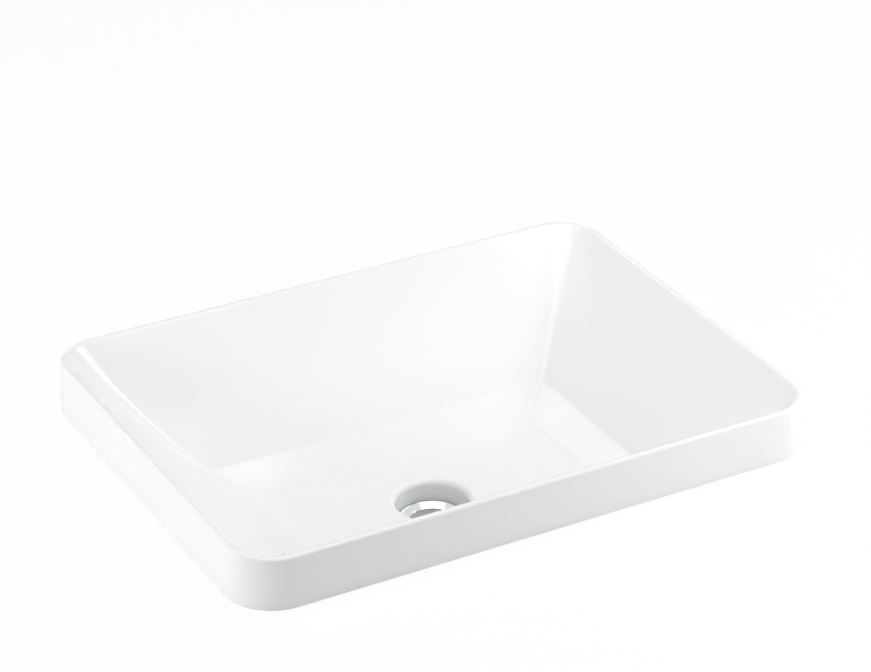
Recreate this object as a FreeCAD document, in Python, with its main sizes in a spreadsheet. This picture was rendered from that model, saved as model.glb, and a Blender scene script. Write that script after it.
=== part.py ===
import FreeCAD, Part
import math
import os
import re
import Sketcher

# An inset countertop basin of glazed ceramic with a click waste in its drain.
# Millimetres, +Z up. The origin is on the counter's surface, at the centre of the skirt.
# +X runs along the basin's long side and +Y to its back.

DIMENSIONS = {
    # Basin, outside
    "basin_width": 550.0,
    "basin_depth": 410.0,
    "skirt_height": 47.5,
    "corner_radius": 45.0,
    "rim_width": 7.0,
    "rim_round": 2.6,
    "skirt_wall": 9.0,
    "skirt_hollow": 26.0,
    "bowl_wall": 10.0,
    # Basin, inside
    "floor_drop": 112.0,
    "floor_width": 314.0,
    "floor_depth": 168.0,
    "floor_corner": 4.0,
    "floor_blend": 14.0,
    "floor_crease": 14.0,
    "floor_fall": 11.0,
    "drain_forward": 7.0,
    # Drain recess and outlet
    "recess_round": 6.0,
    "recess_depth": 23.0,
    "recess_clearance": 1.0,
    "seat_fall": 5.0,
    "outlet_clearance": 2.045,
    "outlet_wall": 10.0,
    "boss_wall": 11.5,
    # Waste body
    "flange_radius": 31.5,
    "flange_thickness": 2.2,
    "flange_seal": 1.5,
    "tail_radius": 20.955,
    "tail_wall": 2.955,
    "shank_length": 36.0,
    "relief_width": 3.0,
    "relief_cut": 1.0,
    "tail_length": 40.0,
    "thread_play": 0.05,
    # Clamping below the outlet
    "under_seal_radius": 33.0,
    "under_seal_height": 4.0,
    "under_seal_nose": 3.5,
    "slip_washer_height": 1.5,
    "backnut_flats": 54.0,
    "backnut_height": 9.0,
    # Spider and click cartridge
    "hub_wall": 4.0,
    "hub_height": 12.0,
    "hub_drop": 14.0,
    "arm_width": 3.5,
    "arm_height": 7.0,
    "cartridge_wall": 1.8,
    "cartridge_length": 44.0,
    "collar_step": 3.0,
    "collar_height": 3.0,
    "gasket_height": 1.0,
    "bush_height": 5.0,
    "end_cap_insert": 3.0,
    "end_cap_head": 2.5,
    # Plunger, rotor and spring
    "stroke": 9.0,
    "stop_gap": 0.3,
    "running_gap": 0.06,
    "plunger_radius": 4.4,
    "plunger_show": 3.0,
    "foot_height": 4.0,
    "cam_rib_width": 1.9,
    "cam_rib_reach": 1.25,
    "cam_clearance": 0.55,
    "cam_rise": 4.0,
    "cam_gap": 0.7,
    "rotor_length": 4.0,
    "rotor_gap": 0.3,
    "spigot_radius": 2.0,
    "spigot_length": 3.0,
    "washer_height": 1.0,
    "spring_wire": 1.0,
    "spring_turns": 6.0,
    # Plug
    "plug_radius": 21.5,
    "plug_edge": 1.6,
    "plug_gap": 0.8,
    "plug_dome": 3.0,
    "plug_hollow": 1.4,
    "plug_boss_wall": 3.0,
    "plug_boss_length": 5.5,
    "seal_inset": 2.0,
    "seal_shelf": 2.7,
    "seal_wire": 1.0,
    "stem_radius": 3.0,
    "stem_engagement": 8.0,
    "lock_nut_flats": 10.0,
    "lock_nut_height": 4.0,
}

doc = FreeCAD.newDocument("CountertopBasin")
sheet = doc.addObject("Spreadsheet::Sheet", "Size")
for row, (name, number) in enumerate(DIMENSIONS.items(), start=1):
    sheet.set(f"A{row}", name)
    sheet.set(f"B{row}", str(number))
    sheet.setAlias(f"B{row}", name)
doc.recompute()

# Two levels closer than this are the same one
CLOSE = 1e-6


# Formulas

def formula(text):
    """Write every dimension's name in a formula as the cell that holds it."""
    return re.sub(r"[a-z][a-z_]+", lambda word: f"Size.{word[0]}" if word[0] in DIMENSIONS else word[0], text)


def value(text):
    """Work out a formula now."""
    return float(sheet.evalExpression(formula(text)))


def between(start, end, share):
    """The formula of the place at a share of the way from one formula to another."""
    return f"({start} + ({end} - {start})*{share})"


# Radii that follow from the pieces they go round, outwards from the plunger and from the waste's tail
CAM_INNER = "(plunger_radius + cam_clearance)"
CARTRIDGE_BORE = f"({CAM_INNER} + cam_rib_reach)"
CARTRIDGE_RADIUS = f"({CARTRIDGE_BORE} + cartridge_wall)"
COLLAR_RADIUS = f"({CARTRIDGE_RADIUS} + collar_step)"
HUB_RADIUS = f"({CARTRIDGE_RADIUS} + hub_wall)"
BORE_RADIUS = "(tail_radius - tail_wall)"
OUTLET_RADIUS = "(tail_radius + outlet_clearance)"
RECESS_RADIUS = "(flange_radius + recess_clearance)"
BOSS_RADIUS = f"({RECESS_RADIUS} + boss_wall)"
SEAL_RADIUS = "(plug_radius - seal_inset)"
PLUG_SHELL = f"({SEAL_RADIUS} - seal_shelf)"
PLUG_BOSS = "(stem_radius + plug_boss_wall)"

# Levels of the ceramic, from the counter's surface
FLOOR_Z = "(skirt_height - floor_drop)"
DRAIN_EDGE_Z = f"({FLOOR_Z} - floor_fall)"
SEAT_TOP_Z = f"({DRAIN_EDGE_Z} - recess_depth)"
SEAT_Z = f"({SEAT_TOP_Z} - seat_fall)"
OUTLET_Z = f"({SEAT_Z} - outlet_wall)"

# The waste is measured from the inner edge of its conical seat, on the drain's axis
SEAT_SLOPE = f"(seat_fall/({RECESS_RADIUS} - {OUTLET_RADIUS}))"
OUTLET = "(-outlet_wall)"
UNDER_SEAL_LOW = f"({OUTLET} - under_seal_height)"
SLIP_WASHER_LOW = f"({UNDER_SEAL_LOW} - slip_washer_height)"
BACKNUT_LOW = f"({SLIP_WASHER_LOW} - backnut_height)"
RELIEF_HIGH = "(-shank_length)"
RELIEF_LOW = f"({RELIEF_HIGH} - relief_width)"
TAIL_LOW = f"({RELIEF_LOW} - tail_length)"

# Click cartridge, from its collar down
HUB_TOP = "(-hub_drop)"
COLLAR_LOW = f"({HUB_TOP} + gasket_height)"
COLLAR_TOP = f"({COLLAR_LOW} + collar_height)"
HOUSING_LOW = f"({COLLAR_TOP} - cartridge_length)"
BUSH_LOW = f"({COLLAR_TOP} - bush_height)"
FOOT_TOP = f"({BUSH_LOW} - stroke - stop_gap)"
FOOT_LOW = f"({FOOT_TOP} - foot_height)"
ROTOR_TOP = f"({FOOT_LOW} - rotor_gap)"
RAMP_LOW = f"({ROTOR_TOP} - cam_rise)"
ROTOR_LOW = f"({RAMP_LOW} - rotor_length)"
WASHER_TOP = f"({ROTOR_LOW} - rotor_gap)"
WASHER_LOW = f"({WASHER_TOP} - washer_height)"
END_CAP_TOP = f"({HOUSING_LOW} + end_cap_insert)"
CORE_RADIUS = f"({CAM_INNER} - stop_gap)"
RIB_RADIUS = f"({CARTRIDGE_BORE} - stop_gap)"
SPRING_RADIUS = f"({CORE_RADIUS} - spring_wire/2 - running_gap)"


def on_seat(radius, height):
    """The level that lies a height above the conical seat at a radius."""
    return f"(({radius} - {OUTLET_RADIUS})*{SEAT_SLOPE} + {height})"


def on_flange(radius):
    """The level of the flange's dished top at a radius."""
    return on_seat(radius, "flange_seal + flange_thickness")


# Plug, closed: its ring seal hangs a stop gap above the flange
SEAL_LEVEL = f"({on_flange(SEAL_RADIUS)} + (seal_wire + stop_gap)*sqrt(1 + {SEAT_SLOPE}^2))"
PLUG_EDGE_LOW = f"({on_flange('plug_radius')} + plug_gap)"
PLUG_EDGE_TOP = f"({PLUG_EDGE_LOW} + plug_edge)"
PLUG_TOP = f"({PLUG_EDGE_TOP} + plug_dome)"
DOME_RADIUS = "((plug_radius^2 + plug_dome^2)/(2*plug_dome))"
BOSS_LOW = f"({SEAL_LEVEL} - plug_boss_length)"
STEM_TOP = f"({SEAL_LEVEL} + plug_hollow/2)"
PLUNGER_TOP = f"({COLLAR_TOP} + plunger_show)"


# Drawing

def new_body(label, at_drain=True):
    """Start a piece. Pieces of the waste stand on the drain's axis at the seat's inner edge."""
    body = doc.addObject("PartDesign::Body", label)
    body.Label = label
    if at_drain:
        body.setExpression("Placement.Base.y", formula("-drain_forward"))
        body.setExpression("Placement.Base.z", formula(SEAT_Z))
    return body


def new_sketch(body, name, role, offset="0"):
    """Attach a sketch to one of the body's own origin planes, moved along its normal by a formula."""
    plane = next(feature for feature in body.Origin.OriginFeatures if feature.Role == role)
    sketch = body.newObject("Sketcher::SketchObject", f"{body.Name}_{name}")
    sketch.AttachmentSupport = [(plane, "")]
    sketch.MapMode = "FlatFace"
    sketch.setExpression("AttachmentOffset.Base.z", formula(offset))
    return sketch


def counterclockwise_arc(start, end, radius):
    """The arc under a half circle that turns left from start to end."""
    chord = end - start
    middle = (start + end)*0.5
    left = FreeCAD.Vector(-chord.y, chord.x, 0).normalize()
    centre = middle + left*math.sqrt(max(radius**2 - (chord.Length/2)**2, 0))
    first = math.atan2(start.y - centre.y, start.x - centre.x)
    last = math.atan2(end.y - centre.y, end.x - centre.x)
    if last < first:
        last += 2*math.pi
    return Part.ArcOfCircle(Part.Circle(centre, FreeCAD.Vector(0, 0, 1), radius), first, last)


def draw_outline(sketch, corners):
    """Close an outline through corners whose two coordinates are formulas.

    A third formula makes the edge that leaves the corner an arc of that radius, which turns left.
    """
    places = [FreeCAD.Vector(value(corner[0]), value(corner[1]), 0) for corner in corners]
    rules = []
    bindings = []

    def bind(name, text, rule):
        bindings.append((len(rules), name, text))
        rules.append(rule)

    for edge, corner in enumerate(corners):
        start = places[edge]
        end = places[(edge + 1) % len(corners)]
        if len(corner) == 3:
            sketch.addGeometry(counterclockwise_arc(start, end, value(corner[2])), False)
        else:
            sketch.addGeometry(Part.LineSegment(start, end), False)
    for edge, corner in enumerate(corners):
        place = places[edge]
        rules.append(Sketcher.Constraint("Coincident", (edge - 1) % len(corners), 2, edge, 1))
        for axis, line, coordinate, text in (("X", -2, place.x, corner[0]), ("Y", -1, place.y, corner[1])):
            if text == "0":
                rules.append(Sketcher.Constraint("PointOnObject", edge, 1, line))
            else:
                rule = Sketcher.Constraint(f"Distance{axis}", -1, 1, edge, 1, coordinate)
                bind(f"{axis.lower()}_of_corner_{edge}", text, rule)
        if len(corner) == 3:
            bind(f"radius_of_edge_{edge}", corner[2], Sketcher.Constraint("Radius", edge, value(corner[2])))
    sketch.addConstraint(rules)
    for index, name, text in bindings:
        sketch.renameConstraint(index, name)
        sketch.setExpression(f"Constraints.{name}", formula(text))


def draw_circle(sketch, radius):
    """Draw a circle about the sketch's origin."""
    sketch.addGeometry(Part.Circle(FreeCAD.Vector(0, 0, 0), FreeCAD.Vector(0, 0, 1), value(radius)), False)
    sketch.addConstraint(Sketcher.Constraint("Coincident", 0, 3, -1, 1))
    sketch.addConstraint(Sketcher.Constraint("Radius", 0, value(radius)))
    sketch.renameConstraint(1, "radius")
    sketch.setExpression("Constraints.radius", formula(radius))


def draw_rounded_rectangle(sketch, side, front, back, radius):
    """Draw four straight sides, at their distances from the origin, and four round corners."""
    flat = f"({side} - {radius})"
    draw_outline(sketch, [
        (f"-{flat}", f"-{front}"),
        (flat, f"-{front}", radius),
        (side, f"{radius} - {front}"),
        (side, f"{back} - {radius}", radius),
        (flat, back),
        (f"-{flat}", back, radius),
        (f"-{side}", f"{back} - {radius}"),
        (f"-{side}", f"{radius} - {front}", radius),
    ])


def draw_drain_circle(sketch, radius):
    """Draw a circle round the drain's axis in eight arcs, four long ones and four for the corners."""
    corner_arc = 10
    turns = []
    for quarter in range(4):
        middle = 90*quarter - 90
        turns.append(middle - (90 - corner_arc)/2)
        turns.append(middle + (90 - corner_arc)/2)
    corners = [(f"{radius}*cos({turn})", f"{radius}*sin({turn}) - drain_forward", radius) for turn in turns]
    draw_outline(sketch, corners)


def draw_hexagon(sketch, flats):
    """Draw a hexagon about the origin by its width across flats."""
    reach = f"({flats}/2/cos(30))"
    draw_outline(sketch, [(f"{reach}*cos({turn})", f"{reach}*sin({turn})") for turn in range(30, 390, 60)])


# Features

def pad(body, name, sketch, length, downwards=False):
    """Raise a sketch into a solid."""
    feature = body.newObject("PartDesign::Pad", f"{body.Name}_{name}")
    feature.Profile = sketch
    feature.Reversed = downwards
    feature.setExpression("Length", formula(length))
    doc.recompute()
    return feature


def cut(body, kind, name, sketch):
    """Start a cut and remember the volume before it, for the check that it removed something."""
    before = body.Shape.Volume
    feature = body.newObject(f"PartDesign::{kind}", f"{body.Name}_{name}")
    feature.Profile = sketch
    return feature, before


def finish_cut(body, feature, before):
    """Recompute and stop if the cut removed nothing."""
    doc.recompute()
    if not body.Shape.Volume < before - CLOSE:
        raise RuntimeError(f"{feature.Name} removed nothing")
    return feature


def pocket(body, name, sketch, length, upwards=False):
    """Cut a sketch into the solid, down from its plane or up."""
    feature, before = cut(body, "Pocket", name, sketch)
    feature.Reversed = upwards
    feature.setExpression("Length", formula(length))
    return finish_cut(body, feature, before)


def groove(body, name, sketch):
    """Turn a sketch about its own upright axis and cut it away."""
    feature, before = cut(body, "Groove", name, sketch)
    feature.ReferenceAxis = (sketch, ["V_Axis"])
    feature.Angle = 360
    return finish_cut(body, feature, before)


def revolve(body, name, corners):
    """Turn a profile of radii and levels about the body's upright axis."""
    sketch = new_sketch(body, f"{name}_profile", "XZ_Plane")
    draw_outline(sketch, corners)
    feature = body.newObject("PartDesign::Revolution", f"{body.Name}_{name}")
    feature.Profile = sketch
    feature.ReferenceAxis = (sketch, ["V_Axis"])
    feature.Angle = 360
    doc.recompute()
    return feature


def loft(body, kind, name, sketches, ruled):
    """Join sections into a solid, straight from one to the next or along a smooth curve."""
    feature = body.newObject(f"PartDesign::{kind}Loft", f"{body.Name}_{name}")
    feature.Profile = sketches[0]
    feature.Sections = sketches[1:]
    feature.Ruled = ruled
    doc.recompute()
    return feature


def polar(body, name, feature, copies):
    """Repeat a feature evenly about the body's upright axis."""
    pattern = body.newObject("PartDesign::PolarPattern", f"{body.Name}_{name}")
    axis = next(item for item in body.Origin.OriginFeatures if item.Role == "Z_Axis")
    pattern.Originals = [feature]
    pattern.Axis = (axis, [""])
    pattern.Angle = 360
    pattern.Occurrences = copies
    body.Tip = pattern
    doc.recompute()
    return pattern


def fillet(body, name, radius, wanted):
    """Round the edges of the body whose middle point passes a test."""
    base = body.Tip
    names = []
    for number, edge in enumerate(base.Shape.Edges, start=1):
        middle = edge.valueAt((edge.FirstParameter + edge.LastParameter)/2)
        if wanted(middle):
            names.append(f"Edge{number}")
    feature = body.newObject("PartDesign::Fillet", f"{body.Name}_{name}")
    feature.Base = (base, names)
    feature.setExpression("Radius", formula(radius))
    doc.recompute()
    return feature


def ring(label, inner, outer, low, high):
    """Make a plain ring as a piece of its own."""
    body = new_body(label)
    revolve(body, "ring", [(inner, low), (outer, low), (outer, high), (inner, high)])
    return body


# Ceramic basin

OPENING_SIDE = "(basin_width/2 - rim_width)"
OPENING_END = "(basin_depth/2 - rim_width)"
OPENING_CORNER = "(corner_radius - rim_width)"
FLOOR_SIDE = "(floor_width/2)"
FLOOR_FRONT = "(floor_depth/2 + drain_forward)"
FLOOR_BACK = "(floor_depth/2 - drain_forward)"

# A wall of even thickness that leans about 45 degrees stands this much further out at its foot and its side
FOOT_SHARE = 0.42
SIDE_SHARE = 1.41

# The round between wall and floor ends a little less far along the floor than it starts up the wall
FLOOR_RUN = "(0.8*floor_blend)"
FLOOR_RUN_FALL = "(floor_fall/4)"
BLEND_STEPS = 4


def wall_section(depth, shell):
    """Side, front, back and corner of a bowl wall at a depth below the rim.

    shell is how far the wall is set outwards: nothing for the inside, the wall's thickness for the outside.
    """
    share = f"({depth}/floor_drop)"
    pairs = [
        (OPENING_SIDE, FLOOR_SIDE),
        (OPENING_END, FLOOR_FRONT),
        (OPENING_END, FLOOR_BACK),
        (OPENING_CORNER, "floor_corner"),
    ]
    return [f"({between(start, end, share)} + {SIDE_SHARE}*{shell})" for start, end in pairs]


def blend_sections(shell):
    """Sections of the round between a wall and the floor, with their levels.

    Each side is a parabola that reaches the floor along its slope. It leaves the wall a little flatter than the
    wall leans, which leaves a fine crease there.
    """
    floor = (FLOOR_SIDE, FLOOR_FRONT, FLOOR_BACK)
    corner = f"(floor_corner + {FOOT_SHARE}*{shell})"
    foot = [f"({size} + {FOOT_SHARE}*{shell} - floor_crease)" for size in floor] + [corner]
    inside = [f"({size} - {FLOOR_RUN})" for size in foot[:3]] + [corner]
    start_depth = f"(floor_drop - floor_blend - {FOOT_SHARE}*{shell})"
    start = wall_section(start_depth, shell)
    levels = [
        f"(skirt_height - {start_depth})",
        f"({FLOOR_Z} - {shell})",
        f"({FLOOR_Z} - {FLOOR_RUN_FALL} - {shell})",
    ]
    for step in range(BLEND_STEPS + 1):
        share = step/BLEND_STEPS
        weights = ((1 - share)**2, 2*share*(1 - share), share**2)
        sizes = [
            f"({one}*{weights[0]} + {two}*{weights[1]} + {three}*{weights[2]})"
            for one, two, three in zip(start, foot, inside)
        ]
        level = " + ".join(f"{place}*{weight}" for place, weight in zip(levels, weights))
        yield f"({level})", sizes


def bowl_sketches(body, name, top_level, top_sizes, shell, drain_level, drain_radius):
    """Draw a bowl's sections from its top down to the circle round the drain."""
    sketches = []
    sections = [(top_level, top_sizes), *blend_sections(shell)]
    for number, (level, sizes) in enumerate(sections):
        sketch = new_sketch(body, f"{name}_section_{number}", "XY_Plane", level)
        draw_rounded_rectangle(sketch, *sizes)
        sketches.append(sketch)
    circle = new_sketch(body, f"{name}_drain_circle", "XY_Plane", drain_level)
    draw_drain_circle(circle, drain_radius)
    return sketches, circle


def loft_bowl(body, kind, name, sketches, circle):
    """Build a bowl as straight walls, a smooth round and a floor that falls to the drain."""
    loft(body, kind, f"{name}_walls", sketches[:2], True)
    loft(body, kind, f"{name}_round", sketches[1:], False)
    loft(body, kind, f"{name}_floor", [sketches[-1], circle], True)


def make_basin():
    """One casting: skirt, bowl, drain recess with its conical seat, and outlet boss."""
    body = new_body("basin", at_drain=False)
    outline = new_sketch(body, "skirt_outline", "XY_Plane")
    draw_rounded_rectangle(outline, "(basin_width/2)", "(basin_depth/2)", "(basin_depth/2)", "corner_radius")
    pad(body, "skirt", outline, "skirt_height")

    hollow = new_sketch(body, "skirt_hollow_outline", "XY_Plane")
    hollow_sizes = [f"({size} - skirt_wall)" for size in ("basin_width/2", "basin_depth/2", "basin_depth/2")]
    draw_rounded_rectangle(hollow, *hollow_sizes, "(corner_radius - skirt_wall)")
    pocket(body, "skirt_underside", hollow, "skirt_hollow", upwards=True)

    # The bowl's outside starts inside the rim, a little above the hollow's ceiling
    shell_top = "(skirt_hollow + skirt_wall/2)"
    shell_sizes = wall_section(f"(skirt_height - {shell_top})", "bowl_wall")
    shell_drain = f"({DRAIN_EDGE_Z} - bowl_wall)"
    sketches, circle = bowl_sketches(
        body, "outside", shell_top, shell_sizes, "bowl_wall", shell_drain, BOSS_RADIUS)
    loft_bowl(body, "Additive", "outside", sketches, circle)
    pad(body, "outlet_boss", circle, f"{shell_drain} - {OUTLET_Z}", downwards=True)

    opening = wall_section("0", "0")
    sketches, circle = bowl_sketches(
        body, "inside", "skirt_height", opening, "0", DRAIN_EDGE_Z, f"({RECESS_RADIUS} + recess_round)")
    loft_bowl(body, "Subtractive", "inside", sketches, circle)

    recess = new_sketch(body, "recess_profile", "XZ_Plane", "drain_forward")
    below = f"({OUTLET_Z} - outlet_wall)"
    draw_outline(recess, [
        ("0", DRAIN_EDGE_Z),
        (f"({RECESS_RADIUS} + recess_round)", DRAIN_EDGE_Z, "recess_round"),
        (RECESS_RADIUS, f"({DRAIN_EDGE_Z} - recess_round)"),
        (RECESS_RADIUS, SEAT_TOP_Z),
        (OUTLET_RADIUS, SEAT_Z),
        (OUTLET_RADIUS, below),
        ("0", below),
    ])
    groove(body, "drain_recess", recess)

    rim = value("skirt_height")
    fillet(body, "rim_edges", "rim_round", lambda middle: abs(middle.z - rim) < CLOSE)
    return body


# Waste body and what clamps it

# The rounds on turned edges, as shares of the thickness of metal there
EDGE_ROUND = 0.4
THROAT_ROUND = 0.6
ARMS = 4


def make_waste_body():
    """A turned tube with a dished flange. A cross of arms inside carries the hub for the cartridge."""
    body = new_body("waste_body")
    neck = "(tail_radius - relief_cut)"
    revolve(body, "tube", [
        (BORE_RADIUS, TAIL_LOW),
        ("tail_radius", TAIL_LOW),
        ("tail_radius", RELIEF_LOW),
        (neck, RELIEF_LOW),
        (neck, RELIEF_HIGH),
        ("tail_radius", RELIEF_HIGH),
        ("tail_radius", on_seat("tail_radius", "flange_seal")),
        ("flange_radius", on_seat("flange_radius", "flange_seal")),
        ("flange_radius", on_flange("flange_radius")),
        (BORE_RADIUS, on_flange(BORE_RADIUS)),
    ])
    rim = value("flange_radius")
    top = value(on_flange("flange_radius"))
    throat = value(on_flange(BORE_RADIUS))
    fillet(body, "flange_lip", f"flange_thickness*{EDGE_ROUND}",
           lambda middle: math.hypot(middle.x, middle.y) > rim - CLOSE and middle.z > top - CLOSE)
    fillet(body, "throat_lip", f"flange_thickness*{THROAT_ROUND}",
           lambda middle: abs(middle.z - throat) < CLOSE)

    # Each arm runs from the axis to the middle of the tube's thinnest wall
    arm = new_sketch(body, "arm_outline", "XY_Plane", HUB_TOP)
    reach = between(BORE_RADIUS, neck, 0.5)
    draw_outline(arm, [
        ("0", "-arm_width/2"),
        (reach, "-arm_width/2"),
        (reach, "arm_width/2"),
        ("0", "arm_width/2"),
    ])
    bar = pad(body, "arm", arm, "arm_height", downwards=True)
    polar(body, "cross", bar, ARMS)
    hub = new_sketch(body, "hub_outline", "XY_Plane", HUB_TOP)
    draw_circle(hub, HUB_RADIUS)
    pad(body, "hub", hub, "hub_height", downwards=True)
    thread = new_sketch(body, "hub_thread_outline", "XY_Plane", HUB_TOP)
    draw_circle(thread, f"({CARTRIDGE_RADIUS} + thread_play)")
    pocket(body, "hub_thread", thread, "hub_height")
    return body


def make_flange_seal():
    """A rubber ring that lies on the conical seat, under the flange."""
    body = new_body("flange_seal")
    inner = f"({OUTLET_RADIUS} + thread_play)"
    revolve(body, "ring", [
        (inner, on_seat(inner, "0")),
        ("flange_radius", on_seat("flange_radius", "0")),
        ("flange_radius", on_seat("flange_radius", "flange_seal")),
        (inner, on_seat(inner, "flange_seal")),
    ])
    return body


def make_underside_seal():
    """A rubber washer against the outlet, with a nose that centres the tube in the hole."""
    body = new_body("underside_seal")
    inner = "(tail_radius + thread_play)"
    nose = f"({OUTLET_RADIUS} - stop_gap)"
    revolve(body, "washer", [
        (inner, UNDER_SEAL_LOW),
        ("(under_seal_radius - under_seal_height/2)", UNDER_SEAL_LOW),
        ("under_seal_radius", f"({UNDER_SEAL_LOW} + under_seal_height/2)"),
        ("under_seal_radius", OUTLET),
        (nose, OUTLET),
        (nose, f"({OUTLET} + under_seal_nose/2)"),
        (inner, f"({OUTLET} + under_seal_nose)"),
    ])
    return body


def make_slip_washer():
    """A plastic ring between the seal and the nut."""
    outer = "(under_seal_radius - under_seal_height/2)"
    return ring("slip_washer", "(tail_radius + thread_play)", outer, SLIP_WASHER_LOW, UNDER_SEAL_LOW)


def make_nut(label, flats, bore, low, height):
    """A hexagon nut whose corners are turned off at both ends."""
    body = new_body(label)
    outline = new_sketch(body, "hexagon", "XY_Plane", low)
    draw_hexagon(outline, flats)
    pad(body, "block", outline, height)
    hole = new_sketch(body, "hole_outline", "XY_Plane", low)
    draw_circle(hole, bore)
    pocket(body, "hole", hole, height, upwards=True)
    corner = f"({flats}/2/cos(30))"
    bevel = f"({corner} - {flats}/2)"
    high = f"({low} + {height})"
    for name, face, inwards in (("lower_bevel", low, "+"), ("upper_bevel", high, "-")):
        profile = new_sketch(body, f"{name}_profile", "XZ_Plane")
        draw_outline(profile, [
            (f"({flats}/2)", face),
            (f"({corner} + {bevel})", face),
            (f"({corner} + {bevel})", f"({face} {inwards} {bevel})"),
        ])
        groove(body, name, profile)
    return body


# Click cartridge

CAM_RIBS = 4


def add_cam_ribs(body, name, low, high, slant_low, slant_high, inner, reach):
    """Four ribs about the axis. The end that bears on the other part's ribs slants along the cam's turn."""
    profile = new_sketch(body, f"{name}_profile", "YZ_Plane", inner)
    side = "(cam_rib_width/2)"
    draw_outline(profile, [
        (f"-{side}", f"({low} + {slant_low[0]})"),
        (side, f"({low} + {slant_low[1]})"),
        (side, f"({high} + {slant_high[0]})"),
        (f"-{side}", f"({high} + {slant_high[1]})"),
    ])
    rib = pad(body, name, profile, f"({reach} - {inner})")
    polar(body, f"{name}_pattern", rib, CAM_RIBS)


def make_cartridge_housing():
    """A tube with a collar, screwed into the hub. Its cam ribs hang inside, with slanted lower ends."""
    body = new_body("cartridge_housing")
    revolve(body, "tube", [
        (CARTRIDGE_BORE, HOUSING_LOW),
        (CARTRIDGE_RADIUS, HOUSING_LOW),
        (CARTRIDGE_RADIUS, COLLAR_LOW),
        (COLLAR_RADIUS, COLLAR_LOW),
        (COLLAR_RADIUS, COLLAR_TOP),
        (CARTRIDGE_BORE, COLLAR_TOP),
    ])
    tip = f"({RAMP_LOW} + cam_gap)"
    wall = between(CARTRIDGE_BORE, CARTRIDGE_RADIUS, 0.5)
    add_cam_ribs(body, "cam_rib", tip, BUSH_LOW, ("0", "cam_rise"), ("0", "0"), CAM_INNER, wall)
    return body


def make_cartridge_end_cap():
    """A plug in the housing's lower end, with a head outside and a small drain hole."""
    body = new_body("cartridge_end_cap")
    insert = f"({CARTRIDGE_BORE} - thread_play)"
    head_low = f"({HOUSING_LOW} - end_cap_head)"
    revolve(body, "plug", [
        ("spigot_radius", head_low),
        (CARTRIDGE_RADIUS, head_low),
        (CARTRIDGE_RADIUS, HOUSING_LOW),
        (insert, HOUSING_LOW),
        (insert, END_CAP_TOP),
        ("spigot_radius", END_CAP_TOP),
    ])
    return body


def make_plunger():
    """A rod that slides in the bush. Its notched foot runs between the cam ribs."""
    body = new_body("plunger")
    socket = "(spigot_radius + running_gap)"
    socket_top = f"({FOOT_LOW} + spigot_length)"
    thread = "(stem_radius + thread_play)"
    thread_low = f"({PLUNGER_TOP} - stem_engagement - stop_gap)"
    revolve(body, "rod", [
        ("0", socket_top),
        (socket, socket_top),
        (socket, FOOT_LOW),
        (RIB_RADIUS, FOOT_LOW),
        (RIB_RADIUS, FOOT_TOP),
        ("plunger_radius", FOOT_TOP),
        ("plunger_radius", PLUNGER_TOP),
        (thread, PLUNGER_TOP),
        (thread, thread_low),
        ("0", thread_low),
    ])
    notch = new_sketch(body, "notch_outline", "XY_Plane", FOOT_TOP)
    side = "(cam_rib_width/2 + stop_gap)"
    draw_outline(notch, [
        (CORE_RADIUS, f"-{side}"),
        (CARTRIDGE_RADIUS, f"-{side}"),
        (CARTRIDGE_RADIUS, side),
        (CORE_RADIUS, side),
    ])
    slot = pocket(body, "notch", notch, "foot_height")
    polar(body, "notches", slot, CAM_RIBS)
    return body


def make_latch_rotor():
    """A rotor that hangs on the plunger by its spigot. Its ribs have slanted upper ends."""
    body = new_body("latch_rotor")
    revolve(body, "core", [
        ("0", ROTOR_LOW),
        (CORE_RADIUS, ROTOR_LOW),
        (CORE_RADIUS, ROTOR_TOP),
        ("spigot_radius", ROTOR_TOP),
        ("spigot_radius", f"({FOOT_LOW} + spigot_length - rotor_gap)"),
        ("0", f"({FOOT_LOW} + spigot_length - rotor_gap)"),
    ])
    root = f"({CORE_RADIUS} - cam_rib_reach/2)"
    add_cam_ribs(body, "rib", ROTOR_LOW, RAMP_LOW, ("0", "0"), ("cam_rise", "0"), root, RIB_RADIUS)
    return body


def biarc(start, start_way, end, end_way):
    """Two arcs that leave one point along its direction and reach the other along its own."""
    gap = end - start
    ways = start_way + end_way
    along = gap.dot(ways)
    square = 2*(1 - start_way.dot(end_way))
    reach = (-along + math.sqrt(along**2 + square*gap.dot(gap)))/square
    joint = (start + end + (start_way - end_way)*reach)*0.5
    arcs = []
    for point, way, far in ((start, start_way, joint), (end, end_way*-1, joint)):
        chord = far - point
        normal = chord.cross(way).cross(way)
        normal.normalize()
        radius = chord.dot(chord)/(2*abs(chord.dot(normal)))
        centre = point + normal*math.copysign(radius, chord.dot(normal))
        half = point + far - centre*2
        half.normalize()
        arcs.append((point, centre + half*radius, far))
    first, last = arcs
    return [Part.Arc(*first), Part.Arc(last[2], last[1], last[0])]


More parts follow.
